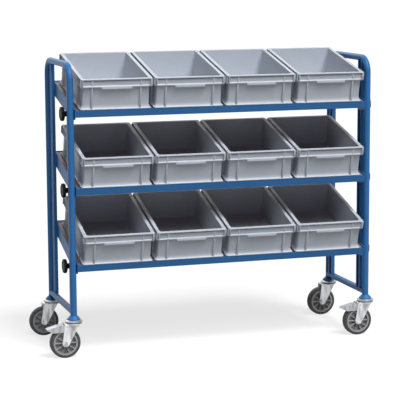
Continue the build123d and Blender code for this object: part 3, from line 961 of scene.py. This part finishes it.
class TROLLEY_OT_containers(bpy.types.Operator):
    """Model one stacking container and set a copy on every place of the shelves"""

    bl_idname = "trolley.containers"
    bl_label = "Containers"

    def execute(self, context):
        plastic = moulded_plastic(
            "Moulded polypropylene, grey", colours().polypropylene,
            least_rough=0.36, most_rough=0.46, sheen=0.3,
        )
        pattern = container_pattern()
        for shelf in SHELVES:
            place = shelf_place(shelf)
            for number in CONTAINERS:
                node = f"{shelf}_container_{number}"
                low, high = measure(node, place)
                foot = Vector(((low.x + high.x) / 2, (low.y + high.y) / 2, low.z))
                set_on(
                    pattern, f"{shelf}_tray_{number}", place @ Matrix.Translation(foot), node,
                    "grey_container", plastic, node,
                )
        bpy.data.objects.remove(pattern)
        return {"FINISHED"}


class TROLLEY_OT_knobs(bpy.types.Operator):
    """Model one clamp knob and set a copy on every stud"""

    bl_idname = "trolley.knobs"
    bl_label = "Clamp knobs"

    def execute(self, context):
        plastic = moulded_plastic(
            "Moulded nylon, black", colours().knob, least_rough=0.4, most_rough=0.5, sheen=0.08
        )
        pattern = knob_pattern()
        for shelf in SHELVES:
            stud = Vector(JOINTS[f"{shelf}_shelf_tilt"]["pos_m"])
            for side, sign in SIDES.items():
                node = f"{shelf}_{side}_knob"
                low, high = measure(node)
                inner = low.x if sign > 0 else high.x
                turned = Matrix.Rotation(0 if sign > 0 else pi, 4, "Z")
                place = Matrix.Translation((inner, stud.y, stud.z)) @ turned
                set_on(pattern, f"{shelf}_{side}_grip", place, node, "black_knob", plastic, node)
        bpy.data.objects.remove(pattern)
        return {"FINISHED"}


class TROLLEY_OT_casters(bpy.types.Operator):
    """Model the tyres and forks and finish the hubs, axles and brake pedals"""

    bl_idname = "trolley.casters"
    bl_label = "Casters"

    def execute(self, context):
        zinc = plated_steel(
            "Zinc-plated steel", colours().zinc, least_rough=0.3, most_rough=0.45, metal=0.55
        )
        # Painted reflection: the heads and pedals get zinc painted darker, as if they mirrored a
        # dark surround
        painted_darker_zinc = plated_steel(
            "Zinc-plated steel, painted darker", colours().zinc_painted_darker,
            least_rough=0.35, most_rough=0.5, metal=0.6,
        )
        # Painted shade: the race under the caster head is painted dark, like the shadow in that
        # recess
        race_painted_shade = plated_steel(
            "Bearing steel, painted dark for shade", colours().pin, least_rough=0.3, most_rough=0.4, metal=1
        )
        moulded = moulded_plastic(
            "Moulded polypropylene, hub grey", colours().hub,
            least_rough=0.4, most_rough=0.55, sheen=0.4,
        )
        soft = rubber()
        tyre = tyre_pattern()
        race = race_pattern()
        forks = {end: fork_pattern(f"left_{end}") for end in ("front", "rear")}
        for leg in LEGS:
            axle = Matrix.Translation(JOINTS[f"{leg}_wheel_roll"]["pos_m"])
            wheel = f"{leg}_wheel"
            set_on(tyre, f"{leg}_tread", axle, wheel, "grey_tyre", soft, f"{leg}_tyre")
            fork = forks[leg.split("_")[1]]
            foot = Matrix.Translation((*JOINTS[f"{leg}_caster_swivel"]["pos_m"][:2], 0))
            body = f"{leg}_caster"
            set_on(fork, f"{leg}_fork", foot, body, "zinc_plated_steel", zinc, f"{leg}_caster_fork")
            # The race carries the painted shade in the recess under the head
            set_on(race, f"{leg}_race", foot, body, "zinc_plated_steel", race_painted_shade)
            coat(moulded, f"{leg}_wheel_hub")
            coat(zinc, f"{leg}_axle")
        for modelled in (tyre, race, *forks.values()):
            bpy.data.objects.remove(modelled)
        # The heads and pedals take the zinc painted darker, a painted dark reflection
        coat(painted_darker_zinc, "caster_heads", "left_front_brake_pedal", "right_front_brake_pedal")
        return {"FINISHED"}


class TROLLEY_OT_stage(bpy.types.Operator):
    """Set the pale floor, the soft light and the camera"""

    bl_idname = "trolley.stage"
    bl_label = "Stage"

    def execute(self, context):
        scene = context.scene
        scene.view_settings.view_transform = "Standard"
        self.floor()
        self.light(scene)
        self.camera(scene)
        return {"FINISHED"}

    def floor(self):
        """A wide floor in matt paint: it looks plain white and keeps the trolley's shadow."""
        deselect()
        bpy.ops.mesh.primitive_plane_add(size=FLOOR_SIZE)
        floor = bpy.context.active_object
        floor.name = "floor"
        material = bpy.data.materials.new("Matt white paint")
        material.use_nodes = True
        tree = material.node_tree
        tree.nodes.clear()
        seen = seen_straight(tree)
        tone = add_node(
            tree, "ShaderNodeMix",
            {"Factor": seen, "A": shade(colours().floor_glow, 1), "B": shade(colours().floor, 1)},
            data_type="RGBA",
        )
        paint = add_node(tree, "ShaderNodeBsdfDiffuse", {"Color": tone.outputs["Result"]})
        white = add_node(tree, "ShaderNodeEmission", {"Color": (1, 1, 1, 1), "Strength": 1})
        share = add_node(tree, "ShaderNodeMath", {0: seen, 1: FLOOR_WHITE}, operation="MULTIPLY")
        show(tree, add_node(
            tree, "ShaderNodeMixShader",
            {0: share.outputs["Value"], 1: paint.outputs[0], 2: white.outputs[0]},
        ))
        floor.data.materials.append(material)

    def light(self, scene):
        """A key light from above on the right, a fill, a light from behind and a pale surround."""
        world = bpy.data.worlds.new("Studio")
        scene.world = world
        world.use_nodes = True
        tree = world.node_tree
        tree.nodes.clear()
        white = (1, 1, 1, 1)
        ambient = add_node(tree, "ShaderNodeBackground", {"Color": white, "Strength": AMBIENT})
        backdrop = add_node(tree, "ShaderNodeBackground", {"Color": white, "Strength": 1})
        mix = add_node(
            tree, "ShaderNodeMixShader",
            {0: seen_straight(tree), 1: ambient.outputs[0], 2: backdrop.outputs[0]},
        )
        add_node(tree, "ShaderNodeOutputWorld", {"Surface": mix.outputs[0]})
        self.softbox("key", KEY_LIGHT, KEY_SIZE, KEY_TIP, KEY_SIDE)
        self.softbox("fill", FILL_LIGHT, FILL_SIZE, FILL_TIP, FILL_SIDE)
        self.softbox("back", BACK_LIGHT, BACK_SIZE, BACK_TIP, BACK_SIDE)

    def softbox(self, name, strength, spread, tip, side):
        """A soft lamp above the trolley, tipped to the front or the back and to one side."""
        bpy.ops.object.light_add(type="SUN", rotation=(tip, side, 0))
        lamp = bpy.context.active_object
        lamp.name = name
        lamp.data.energy = strength
        lamp.data.angle = spread

    def camera(self, scene):
        """The camera stands in front, to the left and above, as the photograph does."""
        bpy.ops.object.camera_add(location=CAMERA_PLACE)
        camera = bpy.context.active_object
        pan = Matrix.Rotation(CAMERA_PAN, 3, "Z")
        tip = Matrix.Rotation(pi / 2 - CAMERA_DIP, 3, "X")
        roll = Matrix.Rotation(CAMERA_ROLL, 3, "Z")
        camera.rotation_euler = (pan @ tip @ roll).to_euler()
        camera.data.sensor_width = SENSOR_WIDTH
        camera.data.lens = LENS
        camera.data.clip_end = VIEW_END
        scene.camera = camera


class TROLLEY_PT_panel(bpy.types.Panel):
    """Sizes, colours and building steps of the trolley"""

    bl_label = "Assembly trolley"
    bl_idname = "TROLLEY_PT_panel"
    bl_space_type = "VIEW_3D"
    bl_region_type = "UI"
    bl_category = "Trolley"

    def draw(self, context):
        for step in STEPS:
            self.layout.operator(step.bl_idname)
        for group in (context.scene.trolley_sizes, context.scene.trolley_colours):
            box = self.layout.box()
            for name in group.__annotations__:
                box.prop(group, name)


STEPS = (
    TROLLEY_OT_end_frames,
    TROLLEY_OT_boards,
    TROLLEY_OT_containers,
    TROLLEY_OT_knobs,
    TROLLEY_OT_casters,
    TROLLEY_OT_stage,
)
CLASSES = (TrolleySizes, TrolleyColours) + STEPS + (TROLLEY_PT_panel,)


def register():
    """Make the steps, the panel and the sizes and colours known to Blender."""
    for cls in CLASSES:
        bpy.utils.register_class(cls)
    bpy.types.Scene.trolley_sizes = bpy.props.PointerProperty(type=TrolleySizes)
    bpy.types.Scene.trolley_colours = bpy.props.PointerProperty(type=TrolleyColours)


def unregister():
    """Take them out again."""
    del bpy.types.Scene.trolley_colours
    del bpy.types.Scene.trolley_sizes
    for cls in reversed(CLASSES):
        bpy.utils.unregister_class(cls)


def main():
    """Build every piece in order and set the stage."""
    register()
    bpy.ops.trolley.end_frames()
    bpy.ops.trolley.boards()
    bpy.ops.trolley.containers()
    bpy.ops.trolley.knobs()
    bpy.ops.trolley.casters()
    bpy.ops.trolley.stage()


if __name__ == "__main__":
    main()
